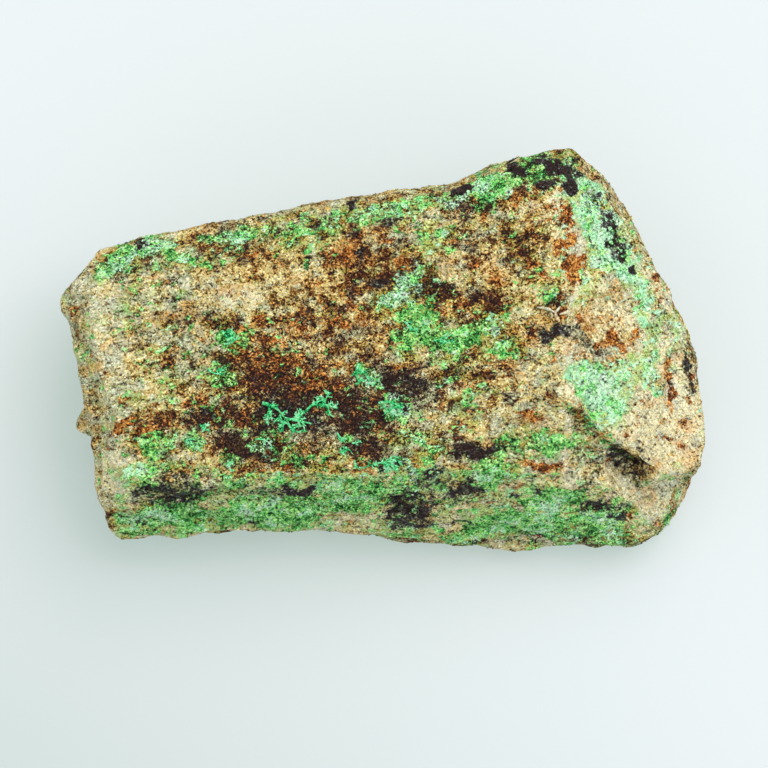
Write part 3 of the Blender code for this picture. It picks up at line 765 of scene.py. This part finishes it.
def makeOreMaterial(name, finish):
    # colour = rock along its stain, then rust, malachite and black where their masks are, then pits,
    # each grain's lightness and painted shade in the gaps; height = grains + noise + streaks + malachite -
    # black - pits
    material = bpy.data.materials.new(name)
    material.use_nodes = True
    tree = material.node_tree
    shader = tree.nodes["Principled BSDF"]
    place = addNode(tree, "TexCoord").outputs["Object"]
    mm = addNode(tree, "VectorMath", {0: place, "Scale": 1000.0}, operation="SCALE").outputs[0]
    keys = (*minerals, "shade")
    cover = {key: addNode(tree, "Attribute", attribute_name=key).outputs["Fac"] for key in keys}

    def stretched(turn, lengths):
        # a pattern on this is drawn out by the lengths, at so many degrees to X
        inputs = {"Vector": mm, "Rotation": (0, 0, np.radians(turn)), "Scale": lengths}
        return addNode(tree, "Mapping", inputs, vector_type="TEXTURE").outputs[0]

    def times(a, b):
        # a x b
        return calc(tree, "MULTIPLY", a, b)

    def gain(value, factor, start):
        # start + value x factor
        return calc(tree, "MULTIPLY_ADD", value, factor, start)

    def plus(start, *others):
        # start + (other - 0.5) x factor, for each other and its factor
        for other, factor in others:
            start = calc(tree, "ADD", start, gain(other, factor, -0.5 * factor))
        return start

    def noises(key, vector):
        # the noise of that name
        return noise(tree, vector, *finish["noises"][key])

    def faded(key, value, toLow=0.0, toHigh=1.0):
        # a smooth step between the edges of that name
        return fade(tree, value, *finish["edges"][key], toLow, toHigh)

    def mask(key, softness=None):
        # 1 on the mineral's blots, 0 between them
        size, weight, usual, shift, chance = finish["masks"][key]
        return useGroup(tree, speckle, {
            "Vector": drawn, "Cover": cover[key], "Chance": grains[chance], "Size": size,
            "Chance Weight": weight, "Softness": usual if softness is None else softness, "Shift": shift,
        })[0]

    def rock(colours):
        # the rock's colours along the stain
        return useGroup(tree, ironStain, {**finish[colours], "Stain": stain})[0]

    def tint(colours, howShaded):
        # dark to light along the shade
        return useGroup(tree, mineralTint, {**finish[colours], "Shade": howShaded})[0]

    def washed(colour, factor, wash):
        # colour x (1 - factor) + colour x wash x factor
        return blend(tree, factor, colour, blend(tree, 1.0, colour, finish[wash], "MULTIPLY"))

    grains = useGroup(tree, sandGrains, {
        "Vector": stretched(0, (1, 1, finish["grainHeight"])),
        "Grain Size": finish["grainSize"], "Fine Size": finish["fineSize"],
    })
    drawn = stretched(finish["drawnAlong"], finish["drawnOut"])
    specks = faded("specks", noises("specks", drawn)[0])
    drift = addNode(tree, "SeparateColor", {"Color": noises("drift", drawn)[1]}).outputs
    cloud = noises("cloud", drawn)[0]
    x = addNode(tree, "SeparateXYZ", {0: mm}).outputs[0]
    streak = 0.0
    for turn, begins, isFull, most in finish["streaks"]:
        brushed = calc(tree, "SUBTRACT", noises("streaks", stretched(turn, finish["brushed"]))[0], 0.5)
        streak = gain(brushed, fade(tree, x, begins, isFull, 0.0, most), streak)

    # one shade for each grain: cloudy drift, its own chance and the loose grain's own lightness
    gains = finish["shade"]
    shade = plus(0.5, (cloud, gains["cloud"]), (grains["Shade"], gains["grain"]))
    shade = plus(shade, (grains["Fine Shade"], gains["fine"]), (cover["shade"], gains["loose"]))
    shade = gain(specks, gains["specks"], shade)
    gains = finish["warm"]
    warm = plus(cover["warm"], (drift[1], gains["drift"]), (grains["Fine Kind"], gains["fine"]))
    gains = finish["tone"]
    tone = plus(cover["tone"], (drift[2], gains["drift"]), (grains["Fine Kind"], gains["fine"]))

    # stain = a ground that follows the iron, brown blots with darker hearts, small specks and streaks,
    # and a sway from grain to grain
    gains = finish["stain"]
    blots = mask("iron")
    blots = gain(faded("blots", blots), gains["blots"], faded("hearts", blots, 0.0, gains["hearts"]))
    ground = gain(cover["iron"], gains["iron"], gains["usual"])
    ground = plus(ground, (grains["Shade"], gains["grain"]), (cover["shade"], gains["loose"]))
    stain = plus(calc(tree, "ADD", blots, ground), (drift[0], gains["drift"]))
    sway = calc(tree, "SUBTRACT", 0.5, grains["Fine Shade"])
    stain = gain(sway, gain(cover["iron"], gains["fineOnIron"], gains["fine"]), stain)
    stain = gain(streak, gains["streaks"], gain(specks, gains["specks"], stain))
    # crisp dark pits, closer together where the stain or the black is strong
    gains = finish["pits"]
    pits = gain(stain, gains["stain"], gain(cover["black"], gains["black"], noises("pits", drawn)[0]))
    pits = faded("pits", gain(cover["green"], gains["green"], pits))

    green = mask("green", faded("softGreen", tone, *finish["greenSoftness"]))
    black = mask("black")
    colour = blend(tree, faded("warmRock", warm), rock("coolRock"), rock("warmRock"))
    colour = washed(colour, faded("blush", noises("wash", drawn)[0]), "blush")
    dusty = plus(cover["green"], (drift[2], finish["dustDrift"]))
    colour = washed(colour, faded("dust", dusty, 0.0, finish["dustMost"]), "dust")
    colour = blend(tree, mask("rust"), colour, tint("rust", shade))
    even = gain(shade, *finish["evenShade"])
    crisp = plus(even, (grains["Fine Shade"], finish["crispGreen"]))
    malachite = blend(tree, faded("springGreen", tone), tint("deepGreen", shade), tint("springGreen", crisp))
    malachite = blend(tree, faded("paleMint", tone), malachite, tint("paleMint", even))
    colour = blend(tree, green, colour, malachite)
    colour = blend(tree, black, colour, tint("black", shade))
    colour = blend(tree, times(pits, finish["pitCover"]), colour, finish["pitAndGapShade"])
    # the finest grains: lightness x (1 + a u + b u cubed), u from -1 to 1, calmer where the stone is pale;
    # the brightest odd grains are painted glints
    calm = faded("pale", addNode(tree, "RGBToBW", {0: colour}).outputs[0], *finish["calm"])
    odd = gain(grains["Fine Shade"], 2.0, -1.0)
    most, few = finish["grainLightnessAndGlints"]
    lit = times(odd, gain(times(odd, odd), few, most))
    lit = gain(lit, calm, gain(streak, finish["streakLight"], 1.0))
    colour = addNode(tree, "VectorMath", {0: colour, "Scale": lit}, operation="SCALE").outputs[0]
    # painted shade in the gaps between grains
    colour = blend(tree, times(times(grains["Painted Gap Shade"], finish["gapPaintedShade"]), calm), colour, finish["pitAndGapShade"])
    tree.links.new(colour, shader.inputs["Base Color"])

    gains = finish["relief"]
    height = gain(grains["Height"], gains["grain"], times(noises("fine", mm)[0], gains["fine"]))
    for key, value in {"streaks": streak, "green": green, "pits": pits, "black": black}.items():
        height = gain(value, gains[key], height)
    bump = addNode(tree, "Bump", {"Strength": 1.0, "Distance": finish["bumpHeight"], "Height": height})
    tree.links.new(bump.outputs[0], shader.inputs["Normal"])
    shader.inputs["Specular IOR Level"].default_value = finish["specular"]
    gains = finish["roughness"]
    rough = gain(grains["Shade"], gains["grain"], gain(green, gains["green"], gains["usual"]))
    tree.links.new(rough, shader.inputs["Roughness"])
    return material


oreMaterial = makeOreMaterial("malachiteOre", oreFinish)


# marks at the left end: fine grooves along X, and pale smears up to the right
grooves = {
    "middle": (-39, -6.5),
    "half": (9, 3.5),  # along X and Y
    "heights": (25, 32),  # where they begin and are full
    "compass": 0,
    "drawnOut": 9,
    "noise": (0.9, 65),  # wavelength, seed
    "rise": 0.4,
    "iron": -0.6,
}
smears = {
    "middle": (-37, 6),
    "half": (12, 7),
    "compass": 14,
    "drawnOut": 7,
    "noise": (1.6, 66),
    "iron": -0.45,
    "warm": 0.4,
}


def marksOf(points, marks, seen=1.0):
    # noise drawn out along the compass x e to the -(x offset / half)^2 - (y offset / half)^2
    c, s = np.cos(np.radians(marks["compass"])), np.sin(np.radians(marks["compass"]))
    drawn = points @ np.array([[c / marks["drawnOut"], -s, 0], [s / marks["drawnOut"], c, 0], [0, 0, 1]])
    x, y = ((points[:, :2] - np.array(marks["middle"])) / np.array(marks["half"])).T
    return seen * np.exp(-(x**2) - y**2) * softNoise(drawn, *marks["noise"])


# stone surface
def stoneSurface():
    # point = core + ray / share, for rays through a box grid, then moved along its normal by the unevenness
    places, quads = boxGrid(block["cells"])
    share = places / np.array(block["cells"])
    share[:, 2] = 1 - (1 - share[:, 2]) ** block["rowsToTop"]
    rays = np.array(block["boxLow"]) - core + share * np.array(block["boxSize"])
    ends = rays / stoneShare(rays)[:, None]
    wander = strayOf(ends + core, block["wander"], 3)
    aboveBed = ends[:, 2:] + core[2]
    more, ending = block["undersideStray"]
    wander[:, 2:] *= np.clip(aboveBed / block["bedCalm"], 0, 1)
    wander[:, :2] *= 1 + more * np.clip(1 - aboveBed / ending, 0, 1)
    points = ends / stoneShare(ends + wander)[:, None] + core
    normals = normalsOf(points, quads)
    rise = sum(ledgeHeight(points, *ledges) for ledges in block["ledges"])
    rise += uneven(points, block["swell"])
    level, depth = block["scallopShape"]
    for wavelength, height, seed in block["scallops"]:
        rise += height * (level - depth * np.abs(softNoise(points, wavelength, seed)))
    rise *= 1 + block["wallRougher"] * (1 - normals[:, 2] ** 2)
    rise = np.where(rise > 0, block["mostRise"] * np.tanh(rise / block["mostRise"]), rise)
    for x, y, z, radius, height in lumpsAndChips:
        away = np.linalg.norm(points - np.array([x, y, z]), axis=1) / radius
        rise += height * np.clip(1 - away**2, 0, 1) ** (2 if height > 0 else 1)
    for wavelength, height, seed in block["grit"]:
        rise += height * softNoise(points, wavelength, seed)
    shaped = points + normals * rise[:, None]
    covers = coversOf(points, normals, ridgeOf(shaped, normals, quads))
    wavelength, height, seed = block["roundedCrust"]
    rise += height * covers["green"] * np.abs(softNoise(points, wavelength, seed))
    wavelength, height, seed = block["ironPits"]
    rise -= height * np.maximum(covers["iron"], 0) ** 2 * np.clip(softNoise(points, wavelength, seed), 0, 1)
    groove = marksOf(points, grooves, smooth(points[:, 2], *grooves["heights"]))
    smear = marksOf(points, smears)
    rise += grooves["rise"] * groove
    covers["iron"] = covers["iron"] + grooves["iron"] * groove + smears["iron"] * smear
    covers["warm"] = covers["warm"] + smears["warm"] * smear
    moved = normals * rise[:, None]
    moved[:, 2] *= np.clip(points[:, 2] / block["bedCalm"], 0, 1)
    points = points + moved
    x, y, radius = block["bedMiddle"]
    outside = (np.hypot(points[:, 0] - x, points[:, 1] - y) - radius) / block["bedEdge"]
    wavelength, depth, seed = block["bedChips"]
    chips = np.clip(softNoise(points, wavelength, seed) - block["bedChipsFrom"], 0, 1)
    points[:, 2] = np.maximum(points[:, 2], depth * chips * np.clip(outside, 0, 1))
    # then stretched to fill the box of the solid
    low, high = points.min(axis=0), points.max(axis=0)
    boxLow, boxHigh = np.array(cadBox) * 1000
    points = boxLow + (points - low) / (high - low) * (boxHigh - boxLow)
    return points, quads, {**limited(covers), "shade": np.full(len(points), 0.5)}


stonePoints, stoneQuads, stoneCovers = stoneSurface()
stone = newPiece("stoneSurface", stonePoints, stoneQuads, stoneCovers, oreMaterial)
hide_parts("malachite_specimen")
stoneNormals = normalsOf(stonePoints, stoneQuads)
print("stone surface:", 2 * len(stoneQuads), "triangles")


# loose grains and crust
sand = {
    "count": 24000,
    "least": 0.10,
    "most": 0.42,
    "sunk": 0.25,  # share of its size that a grain is sunk
    "clusters": [(4.5, 1.0, 91), (2.0, 1.0, 92)],
    "clusterEdge": (-0.4, 0.9),
    "between": 0.08,
}
crust = {
    "count": 9800,
    "least": 0.20,
    "most": 0.52,
    "sunk": 0.35,
    "from": 0.42,  # the least cover of green that bears beads
    "palest": 1.15,
    "shade": (0.35, 1.0),
    "toneSway": 0.35,
    "blackLeft": 0.3,
}
shapes = {"kinds": 24, "uneven": (0.72, 1.25), "smaller": 3}  # the power keeps most grains small


def placesOn(count, weight, rim=0.6):
    # random places on the stone: a quad by its area x weight, then anywhere between its four corners
    corners = stonePoints[stoneQuads]
    area = np.linalg.norm(np.cross(corners[:, 2] - corners[:, 0], corners[:, 3] - corners[:, 1]), axis=1)
    middle = corners.mean(axis=1)
    low, high = stonePoints.min(axis=0), stonePoints.max(axis=0)
    inside = np.all((middle > low + rim) & (middle < high - rim), axis=1)
    chance = area * np.maximum(weight[stoneQuads].mean(axis=1), 0) * inside
    quads = stoneQuads[rng.choice(len(chance), count, p=chance / chance.sum())]
    u, v = rng.random((2, count))
    share = np.stack([(1 - u) * (1 - v), u * (1 - v), u * v, (1 - u) * v], axis=1)

    def at(values):
        return np.einsum("nk,nk...->n...", share, values[quads])

    return at(stonePoints), at(stoneNormals), {name: at(values) for name, values in stoneCovers.items()}


def hullFaces(corners):
    # every three corners that have all others behind them, turned to face out
    faces = []
    for i, j, k in [(i, j, k) for i in range(len(corners)) for j in range(i) for k in range(j)]:
        across = np.cross(corners[j] - corners[i], corners[k] - corners[i])
        side = (corners - corners[i]) @ across
        if np.linalg.norm(across) > 1e-6 and (side.max() < 1e-6 or side.min() > -1e-6):
            faces.append((i, j, k) if side.max() < 1e-6 else (i, k, j))
    return np.array(faces)


def roughGrains(kind, corners, weight):
    # a few faceted shapes with uneven corners, one for each grain:
    # corner = place - normal x size x sunk + turn . shape x size
    count = kind["count"]
    places, normals, covers = placesOn(count, weight)
    forms = corners[None] * rng.uniform(*shapes["uneven"], (shapes["kinds"], len(corners), 1))
    turned, _ = np.linalg.qr(rng.normal(size=(count, 3, 3)))
    turned[np.linalg.det(turned) < 0, :, 0] *= -1
    size = kind["least"] + (kind["most"] - kind["least"]) * rng.random(count) ** shapes["smaller"]
    form = forms[rng.integers(0, shapes["kinds"], count)]
    local = np.einsum("nij,nkj->nki", turned, form) * size[:, None, None]
    points = places[:, None] - normals[:, None] * (size * kind["sunk"])[:, None, None] + local
    faces = hullFaces(corners)[None] + len(corners) * np.arange(count)[:, None, None]
    return points.reshape(-1, 3), faces.reshape(-1, 3), covers


def sandGrainsOnStone():
    # eight-sided grains in clusters, each with its own shade
    six = np.array([(1, 0, 0), (-1, 0, 0), (0, 1, 0), (0, -1, 0), (0, 0, 1), (0, 0, -1)], float)
    weight = smooth(uneven(stonePoints, sand["clusters"]), *sand["clusterEdge"]) + sand["between"]
    points, faces, covers = roughGrains(sand, six, weight)
    covers["shade"] = rng.random(sand["count"])
    return points, faces, {name: np.repeat(values, len(six)) for name, values in covers.items()}


def crustBeadsOnStone():
    # twenty-sided malachite beads: thickest where green is high, malachite is deep and black is low
    golden = (1 + 5**0.5) / 2
    twelve = np.array([(0, a, b * golden) for a in (-1, 1) for b in (-1, 1)])
    twelve = np.concatenate([twelve, twelve[:, [1, 2, 0]], twelve[:, [2, 0, 1]]]) / np.hypot(1, golden)
    weight = np.clip(stoneCovers["green"] - crust["from"], 0, 1)
    weight = weight * np.clip(crust["palest"] - stoneCovers["tone"], 0, 1) * (1 - stoneCovers["black"])
    points, faces, covers = roughGrains(crust, twelve, weight)
    count, sway = crust["count"], crust["toneSway"]
    covers["shade"] = rng.uniform(*crust["shade"], count)
    covers["tone"] = np.clip(covers["tone"] + rng.uniform(-sway, sway, count), 0, 1)
    covers["green"] = np.full(count, 1.0)
    covers["black"] *= crust["blackLeft"]
    return points, faces, {name: np.repeat(values, len(twelve)) for name, values in covers.items()}


sandPiece = newPiece("sandGrains", *sandGrainsOnStone(), oreMaterial, smoothFaces=False)
crustPiece = newPiece("malachiteCrust", *crustBeadsOnStone(), oreMaterial)
print("loose grains and crust:", len(sandPiece.data.polygons) + len(crustPiece.data.polygons), "triangles")


# malachite tufts and the white sliver
# stems: x, y, length, compass, width
tufts = {
    "stems": [
        (-19.3, -8.2, 4.2, -34, 0.40), (-16.6, -10.2, 2.6, -78, 0.34), (-15.8, -10.6, 4.4, -12, 0.36),
        (-15.4, -11.0, 3.0, -42, 0.34), (-17.8, -9.4, 2.2, -115, 0.28), (-14.4, -10.9, 2.2, 42, 0.28),
        (-12.4, -9.6, 3.4, 34, 0.36), (-10.2, -8.4, 3.0, -14, 0.34), (-9.6, -8.3, 2.2, 66, 0.28),
        (-8.9, -8.7, 1.8, -66, 0.28), (-3.9, -1.9, 3.2, -88, 0.38), (-2.6, -4.0, 1.8, -60, 0.3),
        (-0.8, -8.2, 4.0, -14, 0.36), (0.2, -9.8, 3.2, 16, 0.32), (-25.8, 3.4, 2.8, -32, 0.34),
        (-25.4, 1.2, 2.4, 24, 0.3), (-28.0, -2.8, 2.8, -12, 0.3), (-7.4, -13.0, 1.8, -48, 0.3),
        (-7.0, -16.2, 1.6, 24, 0.26), (-0.9, -17.8, 3.4, -10, 0.3), (-20.5, -14.0, 2.8, -20, 0.28),
        (-31.8, -14.4, 1.8, 10, 0.28), (3.4, 4.8, 2.6, -40, 0.3), (8.0, 1.8, 3.0, 4, 0.3),
        (-6.5, -15.2, 1.6, -30, 0.24), (-5.0, -14.6, 1.4, 15, 0.22), (-4.6, -17.4, 1.8, -60, 0.24),
        (-3.2, -18.6, 2.4, 20, 0.26), (0.4, -17.4, 2.6, -6, 0.28), (2.0, -19.0, 2.0, 150, 0.24),
        (-29.3, -11.6, 1.8, -30, 0.26), (-28.6, -12.6, 1.6, 60, 0.24), (-24.8, -17.4, 1.8, -70, 0.24),
        (-25.2, -18.2, 1.4, 30, 0.22),
    ],
    "branches": 6,
    "twigs": 3,
    "lift": 0.3,
    "thick": (1.35, -0.7),  # at the foot, and how much more at the tip
    "tone": (0.25, 0.65),
    "sproutAt": (0.12, 0.95),  # the share of a stem where its side branches start
    "sproutTurn": (35, 75),
    "sproutLength": (0.25, 0.55),
    "sproutShorter": (1.1, 0.5),  # length at the foot, and how much less at the tip
    "sproutWidth": (0.55, 0.8),
}
sliver = {
    "stems": [
        (24.4, 7.0, 3.2, -17, 0.34), (27.2, 6.1, 1.4, 48, 0.30), (27.3, 6.1, 1.6, -62, 0.42),
        (28.0, 5.9, 2.6, 22, 0.36), (26.6, 6.2, 0.9, -80, 0.24),
    ],
    "lift": 0.32,
    "thick": (0.5, 0.9),  # at both ends, and how much more half way
}
rodShape = {"bend": 0.16, "uneven": (0.75, 1.25)}
tuftFinish = {
    "deepGreen": paints(tintSteps, (8, 130, 72), (30, 204, 112), (130, 250, 168)),
    "springGreen": paints(tintSteps, (40, 206, 110), (90, 246, 148), (176, 255, 200)),
    "pitCover": 0.0,
    # painted shade in the gaps between the tufts' grains
    "gapPaintedShade": 0.3,
    # livelier grains on the tufts, the brightest of them painted highlights
    "grainLightnessAndGlints": (0.2, 0.7),
}
overhead = {"perMm": 2, "cells": (230, 150), "filling": 3}  # the grid of heights under the stems


def heightOver(x, y):
    # highest stone point in each cell seen from above, read between cells
    perMm = overhead["perMm"]
    middleX, middleY = (count // 2 for count in overhead["cells"])
    up = stonePoints[stoneNormals[:, 2] > 0.1]
    heights = np.full(overhead["cells"], -1.0)
    cellX, cellY = np.round(perMm * up[:, :2]).astype(int).T
    np.maximum.at(heights, (cellX + middleX, cellY + middleY), up[:, 2])
    for turn in range(overhead["filling"]):  # empty cells take the highest neighbour
        around = np.max([np.roll(heights, shift, axis=axis) for shift in (-1, 1) for axis in (0, 1)], axis=0)
        heights = np.where(heights < 0, around, heights)
    i, j = perMm * x + middleX, perMm * y + middleY
    i0, j0 = np.floor(i).astype(int), np.floor(j).astype(int)
    s, t = i - i0, j - j0
    return (
        heights[i0, j0] * (1 - s) * (1 - t) + heights[i0 + 1, j0] * s * (1 - t)
        + heights[i0, j0 + 1] * (1 - s) * t + heights[i0 + 1, j0 + 1] * s * t
    )


def sprout(stems, count):
    # side branches: start part way along, turned to either side, shorter and thinner
    stems = np.repeat(stems, count, axis=0)
    t = rng.uniform(*tufts["sproutAt"], len(stems))
    compass = np.radians(stems[:, 3])
    starts = stems[:, :2] + (stems[:, 2] * t)[:, None] * np.stack([np.cos(compass), np.sin(compass)], axis=1)
    turn = rng.choice([-1, 1], len(stems)) * rng.uniform(*tufts["sproutTurn"], len(stems))
    most, less = tufts["sproutShorter"]
    length = stems[:, 2] * rng.uniform(*tufts["sproutLength"], len(stems)) * (most - less * t)
    width = stems[:, 4] * rng.uniform(*tufts["sproutWidth"], len(stems))
    return np.column_stack([starts, length, stems[:, 3] + turn, width])


def rods(stems, thick, lift, rings=7, sides=5):
    # a closed tube along each stem: place = start + length x s, bent sideways by a sine,
    # radius = width / 2 x thick(s)
    s = np.linspace(0, 1, rings)
    compass = np.radians(stems[:, 3])[:, None]
    most = rodShape["bend"]
    bend = rng.uniform(-most, most, (len(stems), 1)) * np.sin(np.pi * s) * stems[:, 2:3]
    x = stems[:, 0:1] + stems[:, 2:3] * s * np.cos(compass) - bend * np.sin(compass)
    y = stems[:, 1:2] + stems[:, 2:3] * s * np.sin(compass) + bend * np.cos(compass)
    line = np.stack([x, y, heightOver(x, y) + lift], axis=2)
    along = np.gradient(line, axis=1)
    along /= np.linalg.norm(along, axis=2, keepdims=True)
    side = np.cross(along, [0, 0, 1])
    side /= np.linalg.norm(side, axis=2, keepdims=True)
    up = np.cross(side, along)
    turn = np.linspace(0, 2 * np.pi, sides, endpoint=False)
    radius = (stems[:, 4:5] / 2 * thick(s))[:, :, None, None]
    ring = np.cos(turn)[:, None] * side[:, :, None] + np.sin(turn)[:, None] * up[:, :, None]
    rough = rng.uniform(*rodShape["uneven"], (len(stems), rings, sides, 1))
    points = line[:, :, None] + radius * ring * rough
    a = np.arange(rings - 1)[:, None] * sides + np.arange(sides)
    b = np.arange(rings - 1)[:, None] * sides + (np.arange(sides) + 1) % sides
    halves = ([a, b, b + sides], [a, b + sides, a + sides])
    walls = [np.stack(corners, 2).reshape(-1, 3) for corners in halves]
    fan = np.stack([np.zeros(sides - 2, int), np.arange(2, sides), np.arange(1, sides - 1)], axis=1)
    one = np.concatenate([*walls, fan, fan[:, ::-1] + (rings - 1) * sides])
    faces = one[None] + rings * sides * np.arange(len(stems))[:, None, None]
    return points.reshape(-1, 3), faces.reshape(-1, 3)


def tuftBranches():
    # stems, their branches and the branches' twigs, thinner towards the tip, each with its own tone
    stems = np.array(tufts["stems"], float)
    branches = sprout(stems, tufts["branches"])
    stems = np.concatenate([stems, branches, sprout(branches, tufts["twigs"])])
    foot, more = tufts["thick"]
    points, faces = rods(stems, lambda s: foot + more * s, tufts["lift"])
    tone = np.repeat(rng.uniform(*tufts["tone"], len(stems)), len(points) // len(stems))
    return points, faces, evenCovers(len(points), green=1.0, tone=tone)


def whiteSliver():
    # a few pale stems, thickest half way along
    stems = np.array(sliver["stems"])
    ends, more = sliver["thick"]
    points, faces = rods(stems, lambda s: ends + more * np.sin(np.pi * s), sliver["lift"], rings=14, sides=8)
    return points, faces, evenCovers(len(points), iron=-0.5)


tuftMaterial = makeOreMaterial("malachiteTuft", {**oreFinish, **tuftFinish})
tuftPiece = newPiece("malachiteTufts", *tuftBranches(), tuftMaterial)
sliverPiece = newPiece("whiteSliver", *whiteSliver(), tuftMaterial)
print("tufts and sliver:", len(tuftPiece.data.polygons) + len(sliverPiece.data.polygons), "triangles")


# floor, light, camera
view = {
    "sensor": 36,
    "lens": 36 * 1082 / 122.88,  # a frame 122.88 mm wide, 1082 mm away
    "clip": (0.05, 20),
    "place": (0.00008, -0.0052, 1.118),
    "keyPlace": (0.38, 0.52, 1.42),
    "keyAim": (0, 0, 0.02),
    "keySize": 1.1,
    "keyPower": 20.0,
    "keyColour": (1.0, 0.985, 0.96),
    "skyColour": (0.91, 0.98, 0.99, 1),
    "skyStrength": 0.88,
    "floorHalf": 2,
    "floorColour": paint(167, 161, 170),
    "floorRoughness": 0.9,
    "floorPaintedLight": paint(147, 166, 156),  # painted light: the floor glows, a little green, so its shadows stay pale and greenish like light bounced off the stone
    "floorPaintedShade": paint(88, 127, 102),  # painted shade: it glows less towards the front left, for the stone's long soft shadow
    "paintedShadeTurn": 128,
    "paintedShadeReach": 8,
}


def makeFloor():
    # painted light: the floor glows from the one colour to the other along a turned line, less towards the
    # front left as painted shade
    material = bpy.data.materials.new("paleFloor")
    material.use_nodes = True
    tree = material.node_tree
    place = addNode(tree, "TexCoord").outputs["Object"]
    turn, reach = (0, 0, np.radians(view["paintedShadeTurn"])), (view["paintedShadeReach"],) * 3
    turned = addNode(tree, "Mapping", {"Vector": place, "Rotation": turn, "Scale": reach}).outputs[0]
    paintedShadeFade = addNode(tree, "TexGradient", {"Vector": turned}).outputs[1]
    paintedGlow = blend(tree, fade(tree, paintedShadeFade, 0.0, 1.0), view["floorPaintedLight"], view["floorPaintedShade"])
    inputs = tree.nodes["Principled BSDF"].inputs
    inputs["Base Color"].default_value = view["floorColour"]
    inputs["Roughness"].default_value = view["floorRoughness"]
    # painted light: the floor glows, though it is no lamp
    inputs["Emission Strength"].default_value = 1.0
    tree.links.new(paintedGlow, inputs["Emission Color"])
    mesh = bpy.data.meshes.new("floor")
    half = view["floorHalf"]
    corners = [(half * x, half * y, 0) for x, y in ((-1, -1), (1, -1), (1, 1), (-1, 1))]
    mesh.from_pydata(corners, [], [(0, 1, 2, 3)])
    mesh.materials.append(material)
    floor = bpy.data.objects.new("floor", mesh)
    scene.collection.objects.link(floor)


def makeLight():
    # one large lamp behind and to the right, and a pale sky
    lamp = bpy.data.lights.new("softKey", "AREA")
    lamp.size, lamp.energy, lamp.color = view["keySize"], view["keyPower"], view["keyColour"]
    key = bpy.data.objects.new("softKey", lamp)
    key.location = view["keyPlace"]
    key.rotation_euler = (Vector(view["keyAim"]) - key.location).to_track_quat("-Z", "Y").to_euler()
    scene.collection.objects.link(key)
    world = bpy.data.worlds.new("paleSky")
    world.use_nodes = True
    inputs = world.node_tree.nodes["Background"].inputs
    inputs["Color"].default_value = view["skyColour"]
    inputs["Strength"].default_value = view["skyStrength"]
    scene.world = world


def makeCamera():
    # straight down from above the middle
    camera = bpy.data.objects.new("camera", bpy.data.cameras.new("camera"))
    camera.data.sensor_width, camera.data.lens = view["sensor"], view["lens"]
    camera.data.clip_start, camera.data.clip_end = view["clip"]
    camera.location = view["place"]
    scene.collection.objects.link(camera)
    scene.camera = camera


makeFloor()
makeLight()
makeCamera()
print("floor, light and camera")
